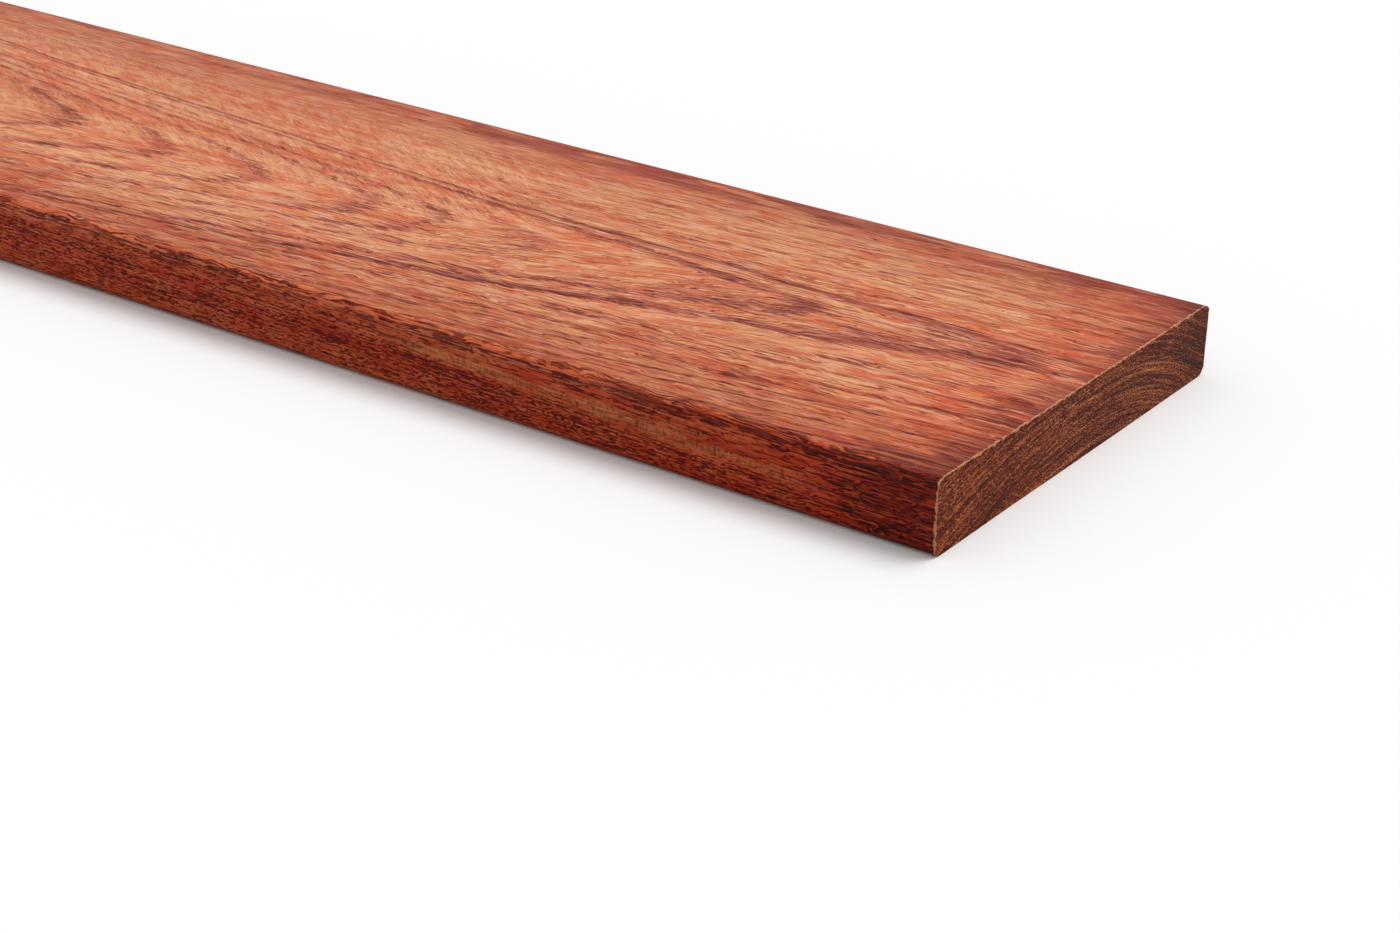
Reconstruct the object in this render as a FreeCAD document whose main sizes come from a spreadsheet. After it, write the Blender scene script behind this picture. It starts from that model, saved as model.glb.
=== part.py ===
# A decking board: one length of planed hardwood with its four long edges rounded over.
# The origin is the middle of the underside. X runs along the board, Y across it and Z up
# through its thickness. Sizes are in millimetres.

import FreeCAD, Part
import math
import os
import sys

import Sketcher

SIZES = {
    "board_length": 2450.0,
    "board_width": 145.0,
    "board_thickness": 21.0,
    "edge_radius": 3.0,
}
BOARD = "decking_board"
PARTS_FOLDER = "parts"

# How a sketch constraint names the ends of a line or arc, and the sketch's own origin and axis.
START = 1
END = 2
ORIGIN_POINT = (-1, 1)
GROUND_AXIS = -1

SKETCH_NORMAL = FreeCAD.Vector(0, 0, 1)
QUARTER_TURN = math.pi / 2


def size_sheet(doc):
    """The driving dimensions, one named cell each."""
    sheet = doc.addObject("Spreadsheet::Sheet", "Sizes")
    for row, (name, value) in enumerate(SIZES.items(), start=1):
        sheet.set(f"A{row}", name)
        sheet.set(f"B{row}", str(value))
        sheet.setAlias(f"B{row}", name)
    doc.recompute()
    return sheet


def own_plane(body, role):
    """The base plane of this body that has the given role."""
    return next(plane for plane in body.Origin.OriginFeatures if plane.Role == role)


def add_side(sketch, start, end):
    """A straight side of the section."""
    return sketch.addGeometry(Part.LineSegment(start, end), False)


def add_rounded_corner(sketch, centre, radius, start_angle):
    """A quarter round of the section, turning left from start_angle."""
    circle = Part.Circle(centre, SKETCH_NORMAL, radius)
    arc = Part.ArcOfCircle(circle, start_angle, start_angle + QUARTER_TURN)
    return sketch.addGeometry(arc, False)


def draw_section(sketch, width, thickness, radius):
    """Draws the section anticlockwise from the underside, and returns its sides and corners.

    The underside lies on the ground axis, centred on the origin. Each corner follows the side
    of the same number: underside, far edge, walking face, near edge.
    """
    def point(across, up):
        return FreeCAD.Vector(across, up, 0)

    far_edge, near_edge = width / 2, -width / 2
    far_centre, near_centre = far_edge - radius, near_edge + radius
    low_centre, high_centre = radius, thickness - radius

    sides = [
        add_side(sketch, point(near_centre, 0), point(far_centre, 0)),
        add_side(sketch, point(far_edge, low_centre), point(far_edge, high_centre)),
        add_side(sketch, point(far_centre, thickness), point(near_centre, thickness)),
        add_side(sketch, point(near_edge, high_centre), point(near_edge, low_centre)),
    ]
    centres = [
        point(far_centre, low_centre),
        point(far_centre, high_centre),
        point(near_centre, high_centre),
        point(near_centre, low_centre),
    ]
    corners = [
        add_rounded_corner(sketch, centre, radius, (number - 1) * QUARTER_TURN)
        for number, centre in enumerate(centres)
    ]
    return sides, corners


def join_section(sketch, sides, corners):
    """Runs each side smoothly into its corner, and keeps the section square and centred."""
    underside, far_edge, walking_face, near_edge = sides
    for number, corner in enumerate(corners):
        next_side = sides[(number + 1) % len(sides)]
        sketch.addConstraint(Sketcher.Constraint("Tangent", sides[number], END, corner, START))
        sketch.addConstraint(Sketcher.Constraint("Tangent", corner, END, next_side, START))
    for corner in corners[1:]:
        sketch.addConstraint(Sketcher.Constraint("Equal", corners[0], corner))
    sketch.addConstraint(Sketcher.Constraint("Horizontal", walking_face))
    sketch.addConstraint(Sketcher.Constraint("Vertical", far_edge))
    sketch.addConstraint(Sketcher.Constraint("Vertical", near_edge))
    sketch.addConstraint(Sketcher.Constraint("PointOnObject", underside, START, GROUND_AXIS))
    sketch.addConstraint(
        Sketcher.Constraint("Symmetric", underside, START, underside, END, *ORIGIN_POINT)
    )


def bind_size(sketch, sheet, alias, kind, *places):
    """Adds a dimension to the sketch and ties it to its cell."""
    constraint = Sketcher.Constraint(kind, *places, SIZES[alias])
    number = sketch.addConstraint(constraint)
    sketch.renameConstraint(number, alias)
    sketch.setExpression(f"Constraints.{alias}", f"{sheet.Name}.{alias}")


def make_section(body, sheet):
    """The planed section: flat faces that meet in equal quarter rounds."""
    sketch = body.newObject("Sketcher::SketchObject", "PlanedSection")
    sketch.AttachmentSupport = [(own_plane(body, "YZ_Plane"), "")]
    sketch.MapMode = "FlatFace"
    sides, corners = draw_section(
        sketch, SIZES["board_width"], SIZES["board_thickness"], SIZES["edge_radius"]
    )
    join_section(sketch, sides, corners)
    underside, far_edge, walking_face, near_edge = sides
    bind_size(sketch, sheet, "board_width", "Distance", near_edge, END, far_edge)
    bind_size(sketch, sheet, "board_thickness", "Distance", walking_face, END, underside)
    bind_size(sketch, sheet, "edge_radius", "Radius", corners[0])
    sketch.Visibility = False
    return sketch


def make_board(doc, sheet):
    """The section run along the grain to the sawn length, half of it each way from the origin."""
    body = doc.addObject("PartDesign::Body", "Board")
    body.Label = BOARD
    run = body.newObject("PartDesign::Pad", "SawnLength")
    run.Profile = make_section(body, sheet)
    run.SideType = "Symmetric"
    run.setExpression("Length", f"{sheet.Name}.board_length")
    body.Tip = run
    return body


def check_model(doc, board):
    """Stops when an object failed to build or the board isn't one whole solid."""
    failed = [item.Name for item in doc.Objects if {"Invalid", "Error"} & set(item.State)]
    if failed:
        sys.exit(f"these objects failed to build: {', '.join(failed)}")
    shape = board.Shape
    if shape.isNull() or not shape.isValid() or len(shape.Solids) != 1:
        sys.exit(f"{board.Label} isn't one valid solid")


def main():
    doc = FreeCAD.newDocument("DeckingBoard")
    board = make_board(doc, size_sheet(doc))
    doc.recompute()
    check_model(doc, board)
    os.makedirs(PARTS_FOLDER, exist_ok=True)
    board.Shape.exportStep(f"{PARTS_FOLDER}/{board.Label}.step")
    print(f"{board.Label}: {board.Shape.BoundBox}, volume {board.Shape.Volume:.1f}")


main()
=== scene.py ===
# A length of planed tropical hardwood decking. The board is one piece, seen from above its near end.

import math

import bpy
from mathutils import Matrix, Vector


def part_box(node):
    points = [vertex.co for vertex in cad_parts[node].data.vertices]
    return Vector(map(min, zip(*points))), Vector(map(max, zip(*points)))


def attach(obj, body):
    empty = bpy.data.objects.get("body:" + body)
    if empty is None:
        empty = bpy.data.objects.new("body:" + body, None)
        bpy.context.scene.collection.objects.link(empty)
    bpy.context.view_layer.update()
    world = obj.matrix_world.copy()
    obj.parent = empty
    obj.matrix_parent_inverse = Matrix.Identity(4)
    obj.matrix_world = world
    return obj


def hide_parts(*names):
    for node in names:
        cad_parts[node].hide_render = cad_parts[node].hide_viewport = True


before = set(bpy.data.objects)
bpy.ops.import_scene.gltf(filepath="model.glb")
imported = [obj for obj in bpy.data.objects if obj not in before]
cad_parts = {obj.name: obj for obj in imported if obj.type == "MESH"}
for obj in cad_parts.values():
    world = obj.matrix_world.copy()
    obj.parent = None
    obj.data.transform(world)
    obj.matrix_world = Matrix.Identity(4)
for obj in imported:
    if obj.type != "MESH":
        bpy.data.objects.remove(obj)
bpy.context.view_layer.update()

MM = 0.001

# The board, read off the frame: its length lies along X and its underside on the floor.
BOARD_LOW, BOARD_HIGH = (Vector(corner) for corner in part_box("decking_board"))
LENGTH, WIDTH, THICKNESS = BOARD_HIGH - BOARD_LOW
EDGE_RADIUS = 3.0 * MM

# How finely the mesh is cut. The wide faces have an even number of columns, with an edge down the
# middle of the underside where the unrolled board is parted.
EDGE_STEPS = 6
FACE_COLUMNS = 4
SIDE_ROWS = 3
BAY = 50.0 * MM
FINE_STEP = 0.75 * MM
COARSE_STEP = 2.0 * MM
FINE_REACH = 500.0 * MM

# The wood that planing tore off the near arris, and the burr that the saw left round the ends:
# how long and how wide its chips are, and how far it stands out or is missing.
ARRIS_CHIP, ARRIS_DEPTH = Vector((7.0, 0.9, 0.9)) * MM, 0.55 * MM
END_CHIP, END_DEPTH = Vector((2.0, 1.6, 1.6)) * MM, 0.5 * MM

# The unrolled board on its square page, in the page's points. The underside is drawn narrower.
PAGE = 1024
PAGE_GAP = 6
STRIPS = 3
END_POINTS_TO_MM = 3.2
UNDERSIDE_SHARE = 0.5


def linear(hex_colour, alpha=1.0):
    """An sRGB hex colour as the linear values that Blender's sockets take."""
    def channel(value):
        return value / 12.92 if value <= 0.04045 else ((value + 0.055) / 1.055) ** 2.4
    values = (int(hex_colour[i:i + 2], 16) / 255 for i in (1, 3, 5))
    return (*(channel(value) for value in values), alpha)


def add(tree, kind, sockets=None, **settings):
    """Adds a node, makes its settings, and gives its sockets values or other nodes' results."""
    node = tree.nodes.new(kind)
    for name, value in settings.items():
        setattr(node, name, value)
    for key, value in (sockets or {}).items():
        socket = node.inputs[key] if isinstance(key, int) else next(
            one for one in node.inputs if one.name == key and one.enabled
        )
        if isinstance(value, bpy.types.Node):
            value = next(one for one in value.outputs if one.enabled)
        if isinstance(value, bpy.types.NodeSocket):
            tree.links.new(value, socket)
        else:
            socket.default_value = value
    return node


# Making the board

def choose(board, kind, wanted):
    """Selects the edges or faces whose middle and direction pass the test, and nothing else."""
    mesh = board.data
    for part in (mesh.vertices, mesh.edges, mesh.polygons):
        part.foreach_set("select", [False] * len(part))
    places = [vertex.co for vertex in mesh.vertices]
    if kind == "edges":
        for edge in mesh.edges:
            start, end = (places[index] for index in edge.vertices)
            edge.select = wanted((start + end) / 2, end - start)
    else:
        for face in mesh.polygons:
            face.select = wanted(face.center, face.normal)
    bpy.context.tool_settings.mesh_select_mode = (False, kind == "edges", kind == "faces")


def in_edit_mode(operator, **settings):
    """Runs one edit-mode operator on what is selected."""
    bpy.ops.object.mode_set(mode="EDIT")
    operator(**settings)
    bpy.ops.object.mode_set(mode="OBJECT")


def runs_along(axis):
    """A test for edges that lie along one axis: 0 is the length, 1 the width, 2 the height."""
    return lambda middle, run: abs(run[axis]) > 0.999 * run.length


def planed_block():
    """The board's solid: a block with its four long edges rounded over."""
    bpy.ops.object.select_all(action="DESELECT")
    bpy.ops.mesh.primitive_cube_add(
        size=1.0, location=(BOARD_LOW + BOARD_HIGH) / 2, scale=(LENGTH, WIDTH, THICKNESS)
    )
    board = bpy.context.object
    board.name = "planed_board"
    bpy.ops.object.transform_apply(location=True, rotation=False, scale=True)
    choose(board, "edges", runs_along(0))
    in_edit_mode(bpy.ops.mesh.bevel, offset=EDGE_RADIUS, segments=EDGE_STEPS, profile=0.5)
    return board


def cut_along(board):
    """Cuts the board across its length, into bays and then finely, finest near the front end."""
    choose(board, "edges", runs_along(0))
    in_edit_mode(bpy.ops.mesh.subdivide, number_cuts=round(LENGTH / BAY) - 1)

    def near_front(middle, run):
        return runs_along(0)(middle, run) and middle.x > BOARD_HIGH.x - FINE_REACH

    def elsewhere(middle, run):
        return runs_along(0)(middle, run) and run.length > BAY / 2

    choose(board, "edges", near_front)
    in_edit_mode(bpy.ops.mesh.subdivide, number_cuts=round(BAY / FINE_STEP) - 1)
    choose(board, "edges", elsewhere)
    in_edit_mode(bpy.ops.mesh.subdivide, number_cuts=round(BAY / COARSE_STEP) - 1)


def cut_across(board):
    """Cuts the wide faces into columns and the long edges' flats into rows."""
    flat_width = WIDTH - 2 * EDGE_RADIUS
    flat_height = THICKNESS - 2 * EDGE_RADIUS
    choose(board, "edges", lambda middle, run: abs(run.y) > 0.9 * flat_width)
    in_edit_mode(bpy.ops.mesh.subdivide, number_cuts=FACE_COLUMNS - 1)
    choose(board, "edges", lambda middle, run: abs(run.z) > 0.9 * flat_height)
    in_edit_mode(bpy.ops.mesh.subdivide, number_cuts=SIDE_ROWS - 1)


def way_round(across, up):
    """How far round the section a point is from the middle of the underside, as drawn on the page."""
    flat = WIDTH / 2 - EDGE_RADIUS
    inner = min(abs(across), flat)
    beyond = abs(across) - inner
    side = THICKNESS - 2 * EDGE_RADIUS
    quarter_round = EDGE_RADIUS * math.pi / 2
    if up < EDGE_RADIUS:
        return inner * UNDERSIDE_SHARE + EDGE_RADIUS * math.atan2(beyond, EDGE_RADIUS - up)
    way = flat * UNDERSIDE_SHARE + quarter_round
    if up < EDGE_RADIUS + side:
        return way + up - EDGE_RADIUS
    return way + side + EDGE_RADIUS * math.atan2(up - EDGE_RADIUS - side, beyond) + flat - inner


def lay_out_page(board):
    """Unrolls the long faces in strips, one above the other, and sets both ends beside them."""
    mesh = board.data
    page = mesh.uv_layers.new(name="OFBake")
    half_round = way_round(0.0, THICKNESS)
    strip_length = LENGTH / STRIPS
    ends_left = PAGE - PAGE_GAP - THICKNESS / MM * END_POINTS_TO_MM
    along_scale = (ends_left - 3 * PAGE_GAP) / strip_length
    round_scale = (PAGE / STRIPS - 2 * PAGE_GAP) / (2 * half_round)
    ways = [way_round(vertex.co.y, vertex.co.z - BOARD_LOW.z) for vertex in mesh.vertices]
    for face in mesh.polygons:
        strip = min(int((face.center.x - BOARD_LOW.x) / strip_length), STRIPS - 1)
        for corner in face.loop_indices:
            index = mesh.loops[corner].vertex_index
            place = mesh.vertices[index].co - BOARD_LOW
            if abs(face.normal.x) > 0.9:
                bottom = PAGE_GAP if face.normal.x < 0 else PAGE / 2
                right = ends_left + place.z / MM * END_POINTS_TO_MM
                above = bottom + place.y / MM * END_POINTS_TO_MM
            else:
                way = ways[index] if face.center.y < 0 else 2 * half_round - ways[index]
                right = 1.5 * PAGE_GAP + (place.x - strip * strip_length) * along_scale
                above = PAGE_GAP + strip * PAGE / STRIPS + way * round_scale
            page.uv[corner].vector = (right / PAGE, above / PAGE)


def roughen(board, name, wanted, chip, depth):
    """Tears the surface up and down by up to half the depth, in chips of the given size."""
    group = board.vertex_groups.new(name=name)
    group.add([vertex.index for vertex in board.data.vertices if wanted(vertex.co)], 1.0, "REPLACE")
    bpy.ops.object.select_all(action="DESELECT")
    bpy.ops.object.empty_add(location=(0, 0, 0))
    chips_lie = bpy.context.object
    chips_lie.scale = chip
    board.select_set(True)
    bpy.context.view_layer.objects.active = board
    bpy.context.view_layer.update()
    texture = bpy.data.textures.new(name, "CLOUDS")
    texture.noise_scale = 1.0
    texture.noise_depth = 1
    tear = board.modifiers.new(name, "DISPLACE")
    tear.texture = texture
    tear.texture_coords = "OBJECT"
    tear.texture_coords_object = chips_lie
    tear.vertex_group = name
    tear.strength = depth
    tear.mid_level = 0.5
    bpy.ops.object.modifier_apply(modifier=name)
    bpy.data.objects.remove(chips_lie)


def on_near_rounding(place):
    """True between the walking face and the near long edge's flat, on the round that joins them."""
    beyond = -place.y - (WIDTH / 2 - EDGE_RADIUS)
    above = place.z - (THICKNESS - EDGE_RADIUS)
    return min(beyond, above) > 0.1 * EDGE_RADIUS


def on_end_rim(place):
    """True round the outline of either end."""
    return abs(place.x) > LENGTH / 2 - 0.01 * MM


def planed_board():
    board = planed_block()
    cut_across(board)
    cut_along(board)
    lay_out_page(board)
    for face in board.data.polygons:
        face.material_index = 1 if abs(face.normal.x) > 0.9 else 0
    roughen(board, "torn_arris", on_near_rounding, ARRIS_CHIP, ARRIS_DEPTH)
    roughen(board, "saw_burr", on_end_rim, END_CHIP, END_DEPTH)
    bpy.ops.object.shade_smooth_by_angle(angle=math.radians(35))
    return board


# Wood. Its patterns are worked out in millimetres from each point's place in the board, so they
# run through the solid and meet at the edges as sawn wood does.
FRONT = LENGTH / MM / 2
HALF_WIDTH = WIDTH / MM / 2
TOP = THICKNESS / MM
ROUND = EDGE_RADIUS / MM

# How the log's growth rings lie in the board. The pith runs under it, wandering up and down and
# from side to side, and that draws the nested arches on the wide faces.
PITH_BELOW_TOP = 75.9
PITH_SINKS, PITH_SINKS_OVER, PITH_LOWEST_AT = 12.0, 400.0, 1320.0
CREST_MIDDLE, CREST_SWINGS, CREST_SWINGS_OVER, CREST_NEAREST_AT = 12.8, -23.3, 220.0, 905.0
NEAR_BREADTH, FAR_BREADTH, CREST_HALF_WIDTH = 0.504, 0.779, 11.0

# The dark line that closes each year's growth: how far out in the log it lies, how dark it is and
# how suddenly the wood darkens up to it. The same run of years comes again further in and out.
FIRST_YEAR, LAST_YEAR = -7.1, 7.2
YEARS = (
    (-6.35, 0.85, 4.0), (-5.4, 0.95, 4.0), (-4.5, 0.85, 4.0), (-3.5, 0.75, 4.0), (-2.8, 0.8, 4.0),
    (-2.05, 0.5, 4.0), (-0.85, 1.0, 5.0), (-0.15, 0.9, 1.1), (1.0, 0.45, 4.0), (2.0, 0.45, 4.0),
    (3.2, 0.45, 4.0), (4.0, 0.45, 4.0), (4.9, 0.65, 4.0), (6.0, 0.45, 4.0), (6.9, 0.5, 4.0),
)
LINE_FADES = 0.14
FAR_LINES = 0.9
FAR_OUTER_LINES = 0.5

# Streaks along the grain: how long and how wide each kind is. Bands are as wide as given across
# the rings, which cut the wide faces aslant and spread the bands out there.
RING_WOBBLE = (120.0, 30.0)
RING_TEETH = (14.0, 0.9)
BROAD_TONE = (150.0, 22.0)
YEAR_BAND = (100.0, 1.3)
FINE_BAND = (45.0, 0.42)
BAND_RUN = 0.03
FIBRE_WAVES, FIBRE_WAVES_REACH = (11.0, 4.0), 5.0
FADED_PATCH = (20.0, 2.6)
LATE_STROKE = (26.0, 1.3)
VIVID_STROKE = (13.0, 2.4)
VESSEL = (38.0, 0.6)
FIBRE = (17.0, 0.45)
PATCH_EDGE = (40.0, 9.0)
EDGE_STROKE = (2.6, 0.36)
LONG_EDGE_STROKE = (11.0, 0.42)
EDGE_LINE = (34.0, 0.6)
CURL = (2.4, 1.5)
CURL_ROWS, CURL_TURNS = 4.6, 16.0
TORN_CHIP = (13.0, 0.55)
TORN_REACH = (16.0, 3.0)
SAW_BURR = (3.0, 1.6)
BLOTCH = (45.0, 6.0)
VIVID_PATCH = (70.0, 12.0)
GOLDEN_STREAK = (14.0, 1.0)
UPRIGHT_TICK = (0.6, 2.4)

SOFT_CELLS = (2.4, 0.35)
PORES = (0.6, 0.28)
FIBRE_RELIEF = 0.3 * MM
PORE_RELIEF = 0.3 * MM

# The dark strokes come and go slowly along the board.
CALM_OVER = 95.0
HEART_OVER = 260.0
CALM_FIBRES = 0.66

# Patches where the grain runs aslant, as interlocked grain does. They come again along the board.
SLANT_REPEATS = 640.0
FALLING, LEVEL, RISING = math.radians(-28), math.radians(4), math.radians(18)
FALLING_SHARE = 0.6

# Planed wood from its darkest streaks to its palest fibres.
PLANED_TONES = (
    (0.0, "#652616"), (0.2, "#8C422B"), (0.38, "#B06547"), (0.56, "#CD8765"), (0.76, "#DD9E7A"),
    (1.0, "#E8B694"),
)
VIVID_RED = "#F2B8A6"
GOLDEN = "#FFFACE"
LATE_PLUM = "#E0C0D4"
HEART_SHADE = "#FFEEE8"
EDGE_SHADE = "#E6CFC8"
# Painted shade for the far long edge's round, where it turns away from the light.
FAR_ARRIS_PAINTED_SHADE = "#C8988C"
BLOTCH_RED = "#D0A69C"
SIDE_SHADE = "#FCC1A6"
OLIVE_TAN = "#E8965E"
END_RED = "#FADAD2"
DRIED_SHADE = "#B09089"
# The near arris's dark: the wood's own dark in its tears, with painted shade in them and along the edge.
TORN_DARK_AND_SHADE = "#4E1C18"
TORN_ORANGE = "#EC7C54"

# Sawn end grain, from the dense wood between the pores to the pale cells round them.
SAWN_TONES = (
    (0.0, "#34100A"), (0.25, "#5D2314"), (0.5, "#7F361E"), (0.75, "#A05232"), (1.0, "#CC8556"),
)
NEAR_END_RED = "#FFE6D0"
FAR_END_BROWN = "#D0C8C4"
BURR_TAN = "#DC9C6C"


def streaks(tree, place, size, seed, lean=0.0, detail=1.0, curl=0.0):
    """Noise drawn out along the grain, in streaks of the given length and width, leaning from X."""
    length, width = size
    stretched = add(tree, "ShaderNodeMapping", {
        "Vector": place,
        "Location": (31 * seed, 17 * seed, 7 * seed),
        "Rotation": (0, 0, lean),
        "Scale": (length, width, width),
    }, vector_type="TEXTURE")
    return add(tree, "ShaderNodeTexNoise", {
        "Vector": stretched, "Scale": 1.0, "Detail": detail, "Distortion": curl,
    })


def leaning_streaks(tree, place, slants, size, seed, detail=1.0, curl=0.0):
    """Streaks that follow the interlocked grain: level ones, and others where the grain leans."""
    falls, rises = slants
    level = streaks(tree, place, size, seed, LEVEL, detail, curl)
    falling = streaks(tree, place, (0.6 * size[0], size[1]), seed + 0.3, FALLING, detail, curl)
    rising = streaks(tree, place, size, seed + 0.6, RISING, detail, curl)
    mostly = add(tree, "ShaderNodeMix", {"Factor": falls, "A": level, "B": falling})
    return add(tree, "ShaderNodeMix", {"Factor": rises, "A": mostly, "B": rising})


def stain(tree, under, colour, pattern, low, high, most, **settings):
    """Lays a colour on what is under it: not at all where the pattern is at low, most at high."""
    amount = add(tree, "ShaderNodeMapRange", {
        "Value": pattern, "From Min": low, "From Max": high, "To Max": most,
    }, interpolation_type="SMOOTHSTEP")
    return add(tree, "ShaderNodeMix", {
        "Factor": amount, "A": under, "B": linear(colour),
    }, data_type="RGBA", **settings)


def where(tree, *ranges):
    """1 where each value has passed the end of its range, 0 where one hasn't reached its start."""
    held = 1.0
    for value, start, end in ranges:
        reached = add(tree, "ShaderNodeMapRange", {
            "Value": value, "From Min": start, "From Max": end,
        }, interpolation_type="SMOOTHSTEP")
        held = add(tree, "ShaderNodeMath", {0: held, 1: reached}, operation="MULTIPLY")
    return held


def toned(tree, layers, level, tones):
    """Adds up the layers, each a pattern about one half with its weight, and gives the tone's colour."""
    tone = level - sum(weight for _, weight in layers) / 2
    for pattern, weight in layers:
        tone = add(tree, "ShaderNodeMath", {0: pattern, 1: weight, 2: tone}, operation="MULTIPLY_ADD")
    ramp = add(tree, "ShaderNodeValToRGB", {"Fac": tone})
    stops = ramp.color_ramp.elements
    stops[0].color = linear(tones[0][1])
    stops[1].color = linear(tones[-1][1])
    for position, shade in tones[1:-1]:
        stops.new(position).color = linear(shade)
    return ramp.outputs["Color"]


def wander(tree, along, reach, over, centre, middle):
    """A slow wave along the board, at its full reach from the middle value at its centre."""
    turned = add(tree, "ShaderNodeMath", {0: along, 1: 1 / over, 2: -centre / over}, operation="MULTIPLY_ADD")
    wave = add(tree, "ShaderNodeMath", {0: turned}, operation="COSINE")
    return add(tree, "ShaderNodeMath", {0: wave, 1: reach, 2: middle}, operation="MULTIPLY_ADD")


def place_in_board(tree):
    """Each point's place in the board, in millimetres, whole and as its three parts."""
    metres = add(tree, "ShaderNodeTexCoord").outputs["Object"]
    place = add(tree, "ShaderNodeVectorMath", {0: metres, "Scale": 1000.0}, operation="SCALE")
    parts = add(tree, "ShaderNodeSeparateXYZ", {0: place})
    return place, parts.outputs["X"], parts.outputs["Y"], parts.outputs["Z"]


def place_in_log(tree, along, across, up):
    """Each point's place in the log's cross-section: how far aside of the pith and how far over it."""
    at_front = PITH_SINKS * math.cos((FRONT - PITH_LOWEST_AT) / PITH_SINKS_OVER)
    below_floor = PITH_BELOW_TOP - TOP - at_front
    crest = wander(tree, along, CREST_SWINGS, CREST_SWINGS_OVER, CREST_NEAREST_AT, CREST_MIDDLE)
    sinking = wander(tree, along, PITH_SINKS, PITH_SINKS_OVER, PITH_LOWEST_AT, below_floor)
    over_pith = add(tree, "ShaderNodeMath", {0: up, 1: sinking}, operation="ADD")
    aside = add(tree, "ShaderNodeMath", {0: across, 1: crest}, operation="SUBTRACT")
    breadth = add(tree, "ShaderNodeMapRange", {
        "Value": aside, "From Min": -CREST_HALF_WIDTH, "From Max": CREST_HALF_WIDTH,
        "To Min": NEAR_BREADTH, "To Max": FAR_BREADTH,
    }, interpolation_type="SMOOTHSTEP")
    flattened = add(tree, "ShaderNodeMath", {0: aside, 1: breadth}, operation="MULTIPLY")
    return flattened, over_pith


def growth(tree, place, flattened, over_pith):
    """How far out in the log each point grew, from the ring that tops the crest at the front end."""
    section = add(tree, "ShaderNodeCombineXYZ", {"X": flattened, "Y": over_pith})
    radius = add(tree, "ShaderNodeVectorMath", {0: section}, operation="LENGTH").outputs["Value"]
    wobble = add(tree, "ShaderNodeMath", {
        0: streaks(tree, place, RING_WOBBLE, 1), 1: 1.2, 2: -0.6 - PITH_BELOW_TOP,
    }, operation="MULTIPLY_ADD")
    teeth = add(tree, "ShaderNodeMath", {
        0: streaks(tree, place, RING_TEETH, 2, detail=2.0), 1: 0.7, 2: -0.35,
    }, operation="MULTIPLY_ADD")
    smooth = add(tree, "ShaderNodeMath", {0: radius, 1: wobble}, operation="ADD")
    return add(tree, "ShaderNodeMath", {0: smooth, 1: teeth}, operation="ADD")


def late_wood(tree, grown):
    """How dark each year's wood is: it darkens outwards and ends sharply at the year's line.

    The ramp's red is how late in its year the wood grew, its green how dark that year's line is and
    its blue how suddenly it comes, in tenths.
    """
    span = LAST_YEAR - FIRST_YEAR
    year = add(tree, "ShaderNodeMath", {0: grown, 1: LAST_YEAR, 2: FIRST_YEAR}, operation="WRAP")
    place_in_run = add(tree, "ShaderNodeMapRange", {
        "Value": year, "From Min": FIRST_YEAR, "From Max": LAST_YEAR,
    })
    ramp = add(tree, "ShaderNodeValToRGB", {"Fac": place_in_run})
    stops = ramp.color_ramp.elements
    looks = [(darkness, suddenness / 10, 1) for _, darkness, suddenness in YEARS]
    stops[0].color = stops[1].color = (0, *looks[0])
    for (line, *_), look, following in zip(YEARS, looks, looks[1:] + looks[:1]):
        stops.new((line - FIRST_YEAR) / span).color = (1, *look)
        stops.new((line + LINE_FADES - FIRST_YEAR) / span).color = (0, *following)
    parts = add(tree, "ShaderNodeSeparateColor", {"Color": ramp.outputs["Color"]})
    suddenness = add(tree, "ShaderNodeMath", {0: parts.outputs["Blue"], 1: 10.0}, operation="MULTIPLY")
    sharpened = add(tree, "ShaderNodeMath", {0: parts.outputs["Red"], 1: suddenness}, operation="POWER")
    return add(tree, "ShaderNodeMath", {0: sharpened, 1: parts.outputs["Green"]}, operation="MULTIPLY")


def slanted_patches(tree, place, along, across):
    """Where the grain falls to the near edge behind the crest, and where it rises beside it."""
    stretch = add(tree, "ShaderNodeMath", {
        0: along, 1: FRONT + 80, 2: FRONT + 80 - SLANT_REPEATS,
    }, operation="WRAP")
    ragged = streaks(tree, place, PATCH_EDGE, 3)
    drift = add(tree, "ShaderNodeMath", {0: ragged, 1: 60.0, 2: -30.0 - FRONT}, operation="MULTIPLY_ADD")
    here = add(tree, "ShaderNodeMath", {0: stretch, 1: drift}, operation="ADD")
    behind = where(tree, (here, -165, -215), (across, -22, 0), (across, 58, 48))
    falls = add(tree, "ShaderNodeMath", {0: behind, 1: FALLING_SHARE}, operation="MULTIPLY")
    beside = add(tree, "ShaderNodeVectorMath", {0: add(tree, "ShaderNodeCombineXYZ", {
        "X": add(tree, "ShaderNodeMath", {0: here, 1: 1 / 75, 2: 135 / 75}, operation="MULTIPLY_ADD"),
        "Y": add(tree, "ShaderNodeMath", {0: across, 1: 1 / 20, 2: 14 / 20}, operation="MULTIPLY_ADD"),
    })}, operation="LENGTH").outputs["Value"]
    return falls, where(tree, (beside, 1.2, 0.8))


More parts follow.
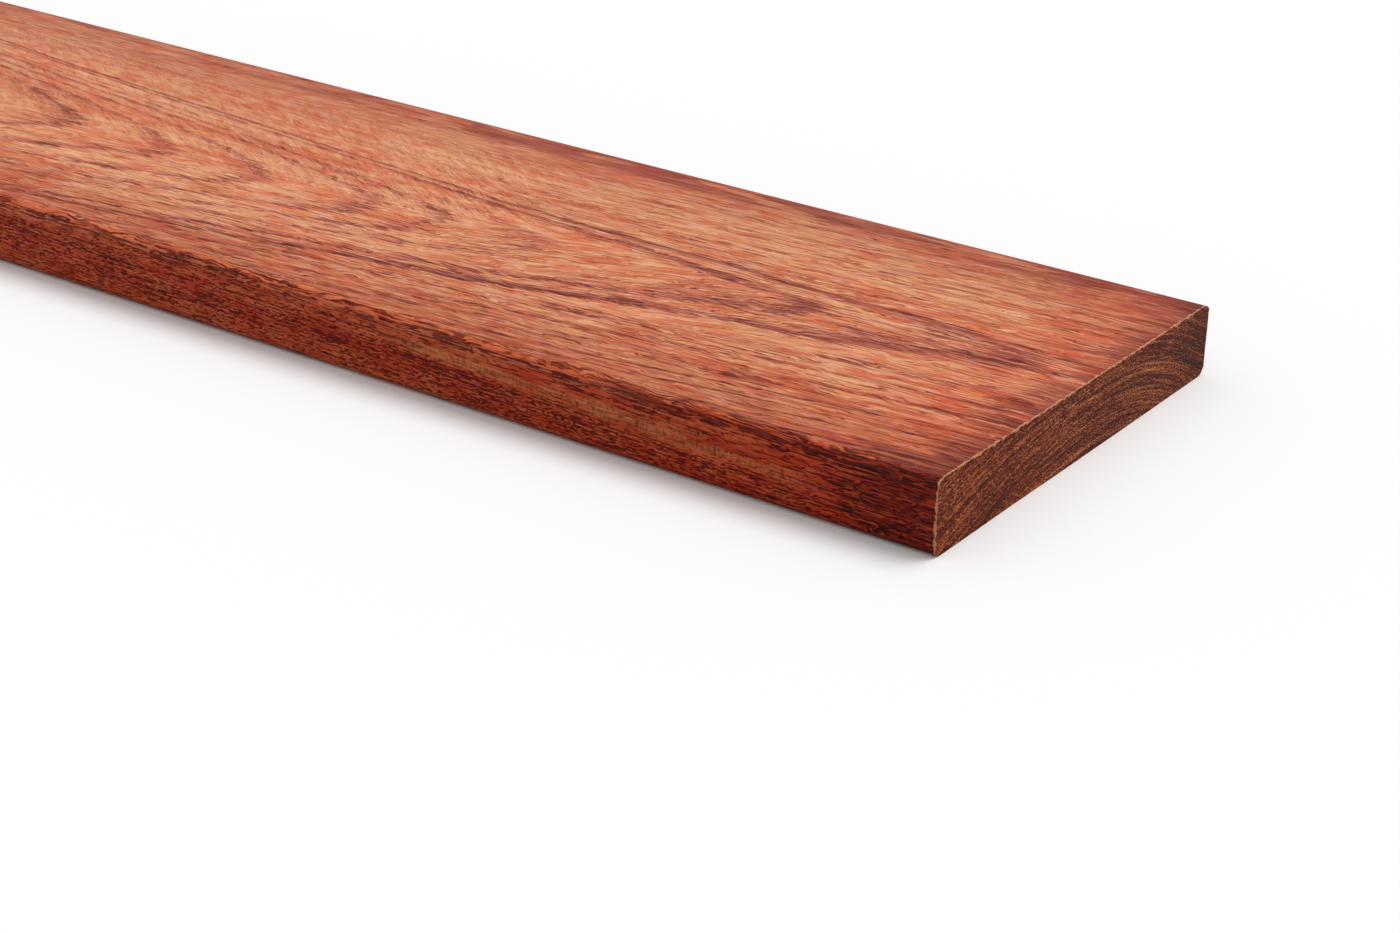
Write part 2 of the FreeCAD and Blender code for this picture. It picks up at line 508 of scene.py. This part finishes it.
def wavy_fibres(tree, place):
    """Each point's place with the fibres' small waves straightened out."""
    waves = streaks(tree, place, FIBRE_WAVES, 26, detail=2.0)
    shift = add(tree, "ShaderNodeMath", {
        0: waves, 1: FIBRE_WAVES_REACH, 2: -FIBRE_WAVES_REACH / 2,
    }, operation="MULTIPLY_ADD")
    sideways = add(tree, "ShaderNodeCombineXYZ", {"Y": shift, "Z": shift})
    sideways = add(tree, "ShaderNodeVectorMath", {0: sideways, 1: (1.0, 1.0, 0.4)}, operation="MULTIPLY")
    return add(tree, "ShaderNodeVectorMath", {0: place, 1: sideways}, operation="ADD")


def new_material(name):
    material = bpy.data.materials.new(name)
    material.use_nodes = True
    material.node_tree.nodes.clear()
    return material, material.node_tree


def bands(tree, along, across, grown, size, seed, detail=2.0):
    """Light and dark wood laid down one after the other, so that its bands follow the rings."""
    laid_down = add(tree, "ShaderNodeCombineXYZ", {
        "X": along,
        "Y": grown,
        "Z": add(tree, "ShaderNodeMath", {0: across, 1: BAND_RUN}, operation="MULTIPLY"),
    })
    return streaks(tree, laid_down, size, seed, detail=detail)


def planed_hardwood():
    """Planed tropical hardwood: orange-tan ground, plum-brown late wood, red vessel lines and a low sheen."""
    material, tree = new_material("planed_hardwood")
    place, along, across, up = place_in_board(tree)
    flattened, over_pith = place_in_log(tree, along, across, up)
    grown = growth(tree, place, flattened, over_pith)
    slants = slanted_patches(tree, place, along, across)
    wavy = wavy_fibres(tree, place)

    broad = streaks(tree, place, BROAD_TONE, 4, detail=2.0)
    year_bands = bands(tree, along, across, grown, YEAR_BAND, 5)
    fine_bands = bands(tree, along, across, grown, FINE_BAND, 7)
    patches = leaning_streaks(tree, wavy, slants, FADED_PATCH, 6, 2.0)
    fibres = leaning_streaks(tree, wavy, slants, FIBRE, 10, 1.0)
    heart = wander(tree, along, 1.0, HEART_OVER, FRONT, 0.0)
    heart = add(tree, "ShaderNodeMath", {0: across, 1: -0.01, 2: heart}, operation="MULTIPLY_ADD")
    calm = add(tree, "ShaderNodeMapRange", {
        "Value": heart, "From Min": 0.9, "From Max": 0.0, "To Max": CALM_FIBRES,
    })
    fibres = add(tree, "ShaderNodeMix", {"Factor": calm, "A": fibres, "B": 0.5})

    # Late wood is made of dark strokes, crowded together up to the year's line and scarce elsewhere.
    # Beyond the crest the lines are fainter.
    strokes = leaning_streaks(tree, wavy, slants, LATE_STROKE, 12, 2.0)
    shown = add(tree, "ShaderNodeMix", {"Factor": where(tree, (grown, 0.1, 1.2)), "A": FAR_LINES, "B": FAR_OUTER_LINES})
    shown = add(tree, "ShaderNodeMix", {"Factor": where(tree, (flattened, 1, 9)), "A": 1.0, "B": shown})
    late = add(tree, "ShaderNodeMath", {0: late_wood(tree, grown), 1: shown}, operation="MULTIPLY")
    crowding = add(tree, "ShaderNodeMath", {0: late, 1: 0.82, 2: strokes}, operation="MULTIPLY_ADD")
    crowding = add(tree, "ShaderNodeMath", {0: fine_bands, 1: crowding}, operation="ADD")
    late_strokes = where(tree, (crowding, 1.2, 1.44))
    strength = wander(tree, along, 0.2, CALM_OVER, FRONT - 90, 0.8)
    strength = add(tree, "ShaderNodeMath", {0: calm, 1: -0.9, 2: strength}, operation="MULTIPLY_ADD")
    late_strokes = add(tree, "ShaderNodeMath", {0: late_strokes, 1: strength}, operation="MULTIPLY")
    vivid = leaning_streaks(tree, wavy, slants, VIVID_STROKE, 14, 2.0)
    open_vessels = where(tree, (leaning_streaks(tree, wavy, slants, VESSEL, 8, 1.0), 0.44, 0.36))
    open_vessels = add(tree, "ShaderNodeMath", {0: open_vessels, 1: strength}, operation="MULTIPLY")

    # The long edges show the same wood from the side: long dark vessels, a pale band, and curls of
    # vessel below it where the fibres run out of the face.
    aside = add(tree, "ShaderNodeMath", {0: across}, operation="ABSOLUTE")
    on_side = (aside, HALF_WIDTH - ROUND, HALF_WIDTH - 0.3)
    side = where(tree, on_side)
    waves = streaks(tree, place, CURL, 14, detail=0.5)
    rows = add(tree, "ShaderNodeMath", {0: up, 1: CURL_ROWS}, operation="MULTIPLY")
    rows = add(tree, "ShaderNodeMath", {0: waves, 1: CURL_TURNS, 2: rows}, operation="MULTIPLY_ADD")
    rows = add(tree, "ShaderNodeMath", {0: rows}, operation="SINE")
    side_fades = add(tree, "ShaderNodeMath", {0: side, 1: heart}, operation="MULTIPLY")
    curled = where(tree, on_side, (grown, -1.8, -3.6), (grown, -13.5, -11.0))
    curls = where(tree, (curled, 0, 1), (rows, 0.2, 0.7))
    from_middle = add(tree, "ShaderNodeMath", {0: along}, operation="ABSOLUTE")
    at_end = where(tree, on_side, (from_middle, FRONT - 50, FRONT - 20))
    shown = add(tree, "ShaderNodeMath", {0: curled, 1: -0.5, 2: side}, operation="MULTIPLY_ADD")
    shown = add(tree, "ShaderNodeMath", {0: at_end, 1: 1.6, 2: shown}, operation="MULTIPLY_ADD")
    above_band = where(tree, on_side, (grown, 0.4, 1.6), (along, FRONT - 260, FRONT - 160))
    edge_strokes = add(tree, "ShaderNodeMix", {
        "Factor": add(tree, "ShaderNodeMath", {0: at_end, 1: above_band}, operation="MAXIMUM"),
        "A": streaks(tree, wavy, EDGE_STROKE, 16, detail=2.0),
        "B": streaks(tree, wavy, LONG_EDGE_STROKE, 34, detail=2.0),
    })
    edge_strokes = add(
        tree, "ShaderNodeMix", {"Factor": shown, "A": 0.5, "B": edge_strokes}, clamp_factor=False
    )
    edge_lines = where(tree, on_side, (streaks(tree, wavy, EDGE_LINE, 17, detail=2.0), 0.46, 0.4))

    crest = where(tree, (flattened, -28, -8), (flattened, 30, 10), (calm, 0.4, 0.1))
    blotches = where(
        tree, (streaks(tree, place, BLOTCH, 29), 0.46, 0.54), (heart, -0.6, 0.0),
        (across, HALF_WIDTH - 14, HALF_WIDTH - 10), (across, HALF_WIDTH - 2, HALF_WIDTH - 4),
    )
    colour = toned(tree, (
        (broad, 0.25), (year_bands, 0.45), (fine_bands, -0.25), (patches, 0.6), (fibres, 2.5), (vivid, 0.3),
        (late, -0.42), (late_strokes, -0.14), (open_vessels, -0.12), (calm, -0.08),
        (edge_strokes, 5.0), (curls, -0.55), (edge_lines, -0.45), (side, 0.22),
        (side_fades, -0.07), (heart, 0.03), (crest, 0.09),
    ), 0.70 - (0.42 + 0.14 + 0.12 + 0.08 + 0.55 + 0.45 + 0.07 - 0.22 - 0.09) / 2, PLANED_TONES)
    vivid_patches = streaks(tree, place, VIVID_PATCH, 30, detail=2.0)
    red = add(tree, "ShaderNodeMath", {0: late_strokes, 1: -0.2, 2: vivid}, operation="MULTIPLY_ADD")
    red = add(tree, "ShaderNodeMath", {0: vivid_patches, 1: 0.5, 2: red}, operation="MULTIPLY_ADD")
    colour = stain(tree, colour, VIVID_RED, red, 0.64, 0.92, 1.0, blend_type="MULTIPLY")
    golden = leaning_streaks(tree, wavy, slants, GOLDEN_STREAK, 32, 2.0)
    colour = stain(tree, colour, GOLDEN, golden, 0.42, 0.64, 1.0, blend_type="MULTIPLY")
    plum = add(tree, "ShaderNodeMath", {0: late_strokes, 1: late}, operation="MAXIMUM")
    colour = stain(tree, colour, LATE_PLUM, plum, 0.0, 1.0, 1.0, blend_type="MULTIPLY")
    colour = stain(tree, colour, HEART_SHADE, heart, -0.4, 1.6, 1.0, blend_type="MULTIPLY")
    colour = stain(tree, colour, EDGE_SHADE, aside, HALF_WIDTH - 40, HALF_WIDTH - 5, 1.0, blend_type="MULTIPLY")
    # Painted shade: the far long edge's round is darkened where it turns away from the light.
    colour = stain(
        tree, colour, FAR_ARRIS_PAINTED_SHADE, across, HALF_WIDTH - 5, HALF_WIDTH - 1.5, 1.0, blend_type="MULTIPLY"
    )
    colour = stain(tree, colour, BLOTCH_RED, blotches, 0.0, 1.0, 1.0, blend_type="MULTIPLY")
    colour = stain(tree, colour, SIDE_SHADE, side, 0.0, 1.0, 1.0, blend_type="MULTIPLY")

    off_band = add(tree, "ShaderNodeMath", {0: grown, 1: -0.1}, operation="SUBTRACT")
    off_band = add(tree, "ShaderNodeMath", {0: off_band}, operation="ABSOLUTE")
    ragged_band = add(tree, "ShaderNodeMath", {0: edge_strokes, 1: 3.0, 2: off_band}, operation="MULTIPLY_ADD")
    ragged_band = add(tree, "ShaderNodeMath", {0: patches, 1: 6.0, 2: ragged_band}, operation="MULTIPLY_ADD")
    ticks = streaks(tree, place, UPRIGHT_TICK, 31, detail=2.0)
    band = where(
        tree, on_side, (ragged_band, 7.2, 4.6), (ticks, 0.1, 0.7),
        (along, FRONT - 190, FRONT - 140), (along, FRONT - 15, FRONT - 60),
    )
    colour = stain(tree, colour, OLIVE_TAN, band, 0.0, 1.0, 0.45)

    # Planing tore the grain along the near long edge. The dark laid on it is partly the wood's own dark in the tears
    # and partly painted shade: shade in the tears, and a painted shadow line just below the top's edge. The orange
    # chips are the fresh wood's colour.
    chips = streaks(tree, wavy, TORN_CHIP, 18, detail=3.0)
    reach = streaks(tree, place, TORN_REACH, 19)
    corner = add(tree, "ShaderNodeMath", {0: up, 1: across}, operation="SUBTRACT")
    corner = add(tree, "ShaderNodeMath", {0: reach, 1: 5.0, 2: corner}, operation="MULTIPLY_ADD")
    at_arris = (corner, TOP + HALF_WIDTH - 1.2, TOP + HALF_WIDTH - 0.7)
    torn_and_shadow = where(tree, at_arris, (chips, 0.49, 0.43))
    height = add(tree, "ShaderNodeMath", {0: reach, 1: 5.0, 2: up}, operation="MULTIPLY_ADD")
    # Painted shadow: a dark line along the near arris, just below the top's edge.
    shadow = where(
        tree, (across, 1.3 - HALF_WIDTH, 0.7 - HALF_WIDTH), (streaks(tree, wavy, EDGE_LINE, 33), 0.4, 0.48),
        (height, TOP - 1.2, TOP - 0.4), (height, TOP + 1.2, TOP + 0.4),
    )
    torn_and_shadow = add(tree, "ShaderNodeMath", {0: torn_and_shadow, 1: shadow}, operation="MAXIMUM")
    # Lays the wood's dark and the painted shade on the near arris.
    colour = stain(tree, colour, TORN_DARK_AND_SHADE, torn_and_shadow, 0.0, 1.0, 0.75)
    bright = where(tree, at_arris, (chips, 0.51, 0.56), (along, FRONT - 60, FRONT - 140))
    colour = stain(tree, colour, TORN_ORANGE, bright, 0.0, 1.0, 0.65)

    # Both ends have dried darker, in tongues that run in along the grain, furthest on the side.
    depth = add(tree, "ShaderNodeMath", {0: FRONT, 1: from_middle}, operation="SUBTRACT")
    drying_slows = add(tree, "ShaderNodeMath", {0: side, 1: -0.45, 2: 1.0}, operation="MULTIPLY_ADD")
    tongues = add(tree, "ShaderNodeMath", {0: strokes, 1: -60.0, 2: 18.0}, operation="MULTIPLY_ADD")
    tongues = add(tree, "ShaderNodeMath", {0: edge_strokes, 1: 24.0, 2: tongues}, operation="MULTIPLY_ADD")
    dried = add(tree, "ShaderNodeMath", {0: depth, 1: drying_slows, 2: tongues}, operation="MULTIPLY_ADD")
    by_corner = where(tree, (across, -45, -70))
    dried = add(tree, "ShaderNodeMath", {0: by_corner, 1: -10.0, 2: dried}, operation="MULTIPLY_ADD")
    colour = stain(tree, colour, END_RED, dried, 44, 10, 1.0, blend_type="MULTIPLY")
    colour = stain(tree, colour, DRIED_SHADE, dried, 16, -6, 1.0, blend_type="MULTIPLY")
    torn_end = streaks(tree, place, SAW_BURR, 27, detail=2.0)
    burr = add(tree, "ShaderNodeMath", {0: torn_end, 1: 2.0, 2: from_middle}, operation="MULTIPLY_ADD")
    colour = stain(tree, colour, BURR_TAN, burr, FRONT + 0.45, FRONT + 0.8, 0.8)

    grooved = add(tree, "ShaderNodeMath", {0: open_vessels, 1: -0.3, 2: fibres}, operation="MULTIPLY_ADD")
    relief = add(tree, "ShaderNodeBump", {"Height": grooved, "Distance": FIBRE_RELIEF})
    sheen = add(tree, "ShaderNodeMapRange", {
        "Value": patches, "From Min": 0.35, "From Max": 0.65, "To Min": 0.56, "To Max": 0.44,
    })
    shader = add(tree, "ShaderNodeBsdfPrincipled", {
        "Base Color": colour, "Roughness": sheen, "Specular IOR Level": 0.1, "Normal": relief,
    })
    add(tree, "ShaderNodeOutputMaterial", {"Surface": shader})
    return material


def sawn_end_grain():
    """End grain from a fine saw: dark brown dense wood, paler arcs of soft cells and pores, no sheen."""
    material, tree = new_material("sawn_end_grain")
    place, along, across, up = place_in_board(tree)
    flattened, over_pith = place_in_log(tree, along, across, up)
    grown = growth(tree, place, flattened, over_pith)
    turned = add(tree, "ShaderNodeMath", {0: flattened, 1: over_pith}, operation="ARCTAN2")
    round_log = add(tree, "ShaderNodeMath", {0: turned, 1: PITH_BELOW_TOP}, operation="MULTIPLY")
    on_rings = add(tree, "ShaderNodeCombineXYZ", {"X": round_log, "Y": grown, "Z": along})

    line = late_wood(tree, grown)
    year_bands = bands(tree, along, across, grown, YEAR_BAND, 5)
    fine_bands = bands(tree, along, across, grown, FINE_BAND, 7)
    soft_cells = streaks(tree, on_rings, SOFT_CELLS, 22, detail=1.0)
    pores = streaks(tree, on_rings, PORES, 24, detail=1.0)
    colour = toned(tree, (
        (year_bands, 1.4), (fine_bands, -1.6), (soft_cells, 1.5), (pores, 3.0), (line, -0.3),
    ), 0.43 - 0.15, SAWN_TONES)
    colour = stain(tree, colour, NEAR_END_RED, across, 10.0, -50.0, 1.0, blend_type="MULTIPLY")
    colour = stain(tree, colour, FAR_END_BROWN, across, 45.0, 70.0, 1.0, blend_type="MULTIPLY")

    # The saw left a ragged pale burr along the top and near edges.
    below_top = add(tree, "ShaderNodeMath", {0: TOP, 1: up}, operation="SUBTRACT")
    from_near = add(tree, "ShaderNodeMath", {0: across, 1: HALF_WIDTH}, operation="ADD")
    rim = add(tree, "ShaderNodeMath", {0: below_top, 1: from_near, 2: 1.5}, operation="SMOOTH_MIN")
    ragged = streaks(tree, place, SAW_BURR, 28, detail=2.0)
    burr = add(tree, "ShaderNodeMath", {0: ragged, 1: 3.6, 2: rim}, operation="MULTIPLY_ADD")
    colour = stain(tree, colour, BURR_TAN, burr, 2.2, 1.6, 0.85)

    relief = add(tree, "ShaderNodeBump", {"Height": pores, "Distance": PORE_RELIEF})
    shader = add(tree, "ShaderNodeBsdfPrincipled", {
        "Base Color": colour, "Roughness": 0.75, "Specular IOR Level": 0.15, "Normal": relief,
    })
    add(tree, "ShaderNodeOutputMaterial", {"Surface": shader})
    return material


# Studio

AMBIENT = 0.55
SUN_TILT = math.radians(24)
SUN_TURN = math.radians(150)
SUN_SOFTNESS = math.radians(35)
FLOOR_SHOWN = "#FFFFFF"
FLOOR_BOUNCE = "#BFBFBD"
FLOOR_SIZE = 60.0


def seen_directly(tree):
    """1 for rays that show a surface to the eye, in a mirror or through glass, and 0 for its bounce."""
    rays = add(tree, "ShaderNodeLightPath")
    shown = rays.outputs["Is Camera Ray"]
    for kind in ("Is Glossy Ray", "Is Transmission Ray"):
        shown = add(tree, "ShaderNodeMath", {0: shown, 1: rays.outputs[kind]}, operation="MAXIMUM")
    return shown


def floor_material():
    material, tree = new_material("white_studio_floor")
    colour = add(tree, "ShaderNodeMix", {
        "Factor": seen_directly(tree), "A": linear(FLOOR_BOUNCE), "B": linear(FLOOR_SHOWN),
    }, data_type="RGBA")
    shader = add(tree, "ShaderNodeBsdfDiffuse", {"Color": colour})
    add(tree, "ShaderNodeOutputMaterial", {"Surface": shader})
    return material


def studio():
    bpy.ops.object.select_all(action="DESELECT")
    bpy.ops.mesh.primitive_plane_add(size=FLOOR_SIZE)
    floor = bpy.context.object
    floor.name = "studio_floor"
    floor.data.materials.append(floor_material())

    world = bpy.data.worlds.new("studio_surround")
    bpy.context.scene.world = world
    world.use_nodes = True
    tree = world.node_tree
    tree.nodes.clear()
    strength = add(tree, "ShaderNodeMapRange", {"Value": seen_directly(tree), "To Min": AMBIENT, "To Max": 1.0})
    light = add(tree, "ShaderNodeBackground", {"Color": (1, 1, 1, 1), "Strength": strength})
    add(tree, "ShaderNodeOutputWorld", {"Surface": light})

    sun = bpy.data.lights.new("overhead_softbox", "SUN")
    sun.energy = math.pi * (1 - AMBIENT) / math.cos(SUN_TILT)
    sun.angle = SUN_SOFTNESS
    lamp = bpy.data.objects.new("overhead_softbox", sun)
    lamp.rotation_euler = (SUN_TILT, 0, SUN_TURN)
    bpy.context.scene.collection.objects.link(lamp)


# The camera looks down on the front end from the near side, as a photographer standing over it would.
VIEW_AZIMUTH = math.radians(34.41)
VIEW_ELEVATION = math.radians(24.80)
VIEW_ROLL = math.radians(1.40)
CAMERA_FROM_NEAR_CORNER = Vector((310.48, -553.80, 315.32)) * MM
LENS_MM = 75.55
SENSOR_MM = 36.0


def photographer():
    near_corner = Vector((BOARD_HIGH.x, BOARD_LOW.y, BOARD_LOW.z))
    back = Vector((
        math.sin(VIEW_AZIMUTH) * math.cos(VIEW_ELEVATION),
        -math.cos(VIEW_AZIMUTH) * math.cos(VIEW_ELEVATION),
        math.sin(VIEW_ELEVATION),
    ))
    level = Vector((math.cos(VIEW_AZIMUTH), math.sin(VIEW_AZIMUTH), 0))
    square = back.cross(level)
    right = math.cos(VIEW_ROLL) * level + math.sin(VIEW_ROLL) * square
    up = back.cross(right)
    camera = bpy.data.objects.new("camera", bpy.data.cameras.new("camera"))
    camera.data.lens = LENS_MM
    camera.data.sensor_width = SENSOR_MM
    camera.matrix_world = Matrix.Translation(near_corner + CAMERA_FROM_NEAR_CORNER) @ Matrix(
        (right, up, back)
    ).transposed().to_4x4()
    bpy.context.scene.collection.objects.link(camera)
    bpy.context.scene.camera = camera


photographer()
studio()
board = planed_board()
board.data.materials.append(planed_hardwood())
board.data.materials.append(sawn_end_grain())
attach(board, "root")
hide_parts("decking_board")
bpy.context.scene.view_settings.view_transform = "Standard"

print("triangles", sum(len(face.vertices) - 2 for face in board.data.polygons))
